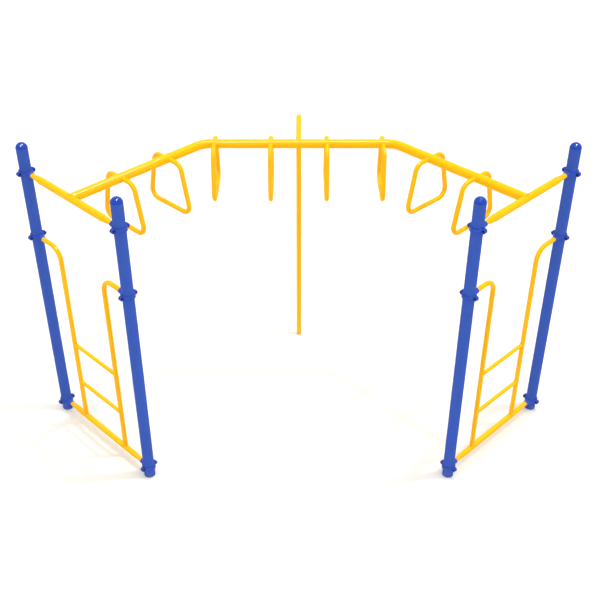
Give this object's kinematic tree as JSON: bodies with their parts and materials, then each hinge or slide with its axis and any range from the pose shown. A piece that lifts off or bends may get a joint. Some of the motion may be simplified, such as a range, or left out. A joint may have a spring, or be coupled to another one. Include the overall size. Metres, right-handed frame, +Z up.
{
  "type": "monkey bars",
  "caption": "Overhead ladder bars with capped posts, angled ladder end frames, a bent overhead beam carrying trapezoid hand loops and a support pole.",
  "frame": {"origin": "on the ground, under the centre of the footprint", "axes": "+X along the middle stretch of the overhead beam, +Y from the front posts towards the support pole, +Z up"},
  "size_m": [4.2238, 2.0041, 2.562],
  "materials": {
    "blue_coat": "semi-gloss powder coat",
    "cap_coat": "gloss powder coat",
    "clamp_coat": "semi-gloss powder coat on castings",
    "yellow_coat": "semi-gloss powder coat",
    "fastener": "dark zinc"
  },
  "bodies": {
    "root": {"bottom_beam_left": "yellow_coat", "bottom_beam_right": "yellow_coat", "clamp_bolts_left": "fastener", "clamp_bolts_right": "fastener", "clamp_nuts_left": "fastener", "clamp_nuts_right": "fastener", "clamp_socket_bottom_back_left": "clamp_coat", "clamp_socket_bottom_back_right": "clamp_coat", "clamp_socket_bottom_front_left": "clamp_coat", "clamp_socket_bottom_front_right": "clamp_coat", "clamp_socket_middle_back_left": "clamp_coat", "clamp_socket_middle_back_right": "clamp_coat", "clamp_socket_middle_front_left": "clamp_coat", "clamp_socket_middle_front_right": "clamp_coat", "clamp_socket_top_back_left": "clamp_coat", "clamp_socket_top_back_right": "clamp_coat", "clamp_socket_top_front_left": "clamp_coat", "clamp_socket_top_front_right": "clamp_coat", "clamp_strap_bottom_back_left": "clamp_coat", "clamp_strap_bottom_back_right": "clamp_coat", "clamp_strap_bottom_front_left": "clamp_coat", "clamp_strap_bottom_front_right": "clamp_coat", "clamp_strap_middle_back_left": "clamp_coat", "clamp_strap_middle_back_right": "clamp_coat", "clamp_strap_middle_front_left": "clamp_coat", "clamp_strap_middle_front_right": "clamp_coat", "clamp_strap_top_back_left": "clamp_coat", "clamp_strap_top_back_right": "clamp_coat", "clamp_strap_top_front_left": "clamp_coat", "clamp_strap_top_front_right": "clamp_coat", "end_beam_left": "yellow_coat", "end_beam_right": "yellow_coat", "hand_loop_left_1": "yellow_coat", "hand_loop_left_2": "yellow_coat", "hand_loop_left_3": "yellow_coat", "hand_loop_left_4": "yellow_coat", "hand_loop_right_1": "yellow_coat", "hand_loop_right_2": "yellow_coat", "hand_loop_right_3": "yellow_coat", "hand_loop_right_4": "yellow_coat", "ladder_rail_back_left": "yellow_coat", "ladder_rail_back_right": "yellow_coat", "ladder_rail_front_left": "yellow_coat", "ladder_rail_front_right": "yellow_coat", "main_beam": "yellow_coat", "post_back_left": "blue_coat", "post_back_right": "blue_coat", "post_cap_back_left": "cap_coat", "post_cap_back_right": "cap_coat", "post_cap_front_left": "cap_coat", "post_cap_front_right": "cap_coat", "post_front_left": "blue_coat", "post_front_right": "blue_coat", "rung_lower_left": "yellow_coat", "rung_lower_right": "yellow_coat", "rung_upper_left": "yellow_coat", "rung_upper_right": "yellow_coat", "support_pole": "yellow_coat"}
  },
  "joints": []
}
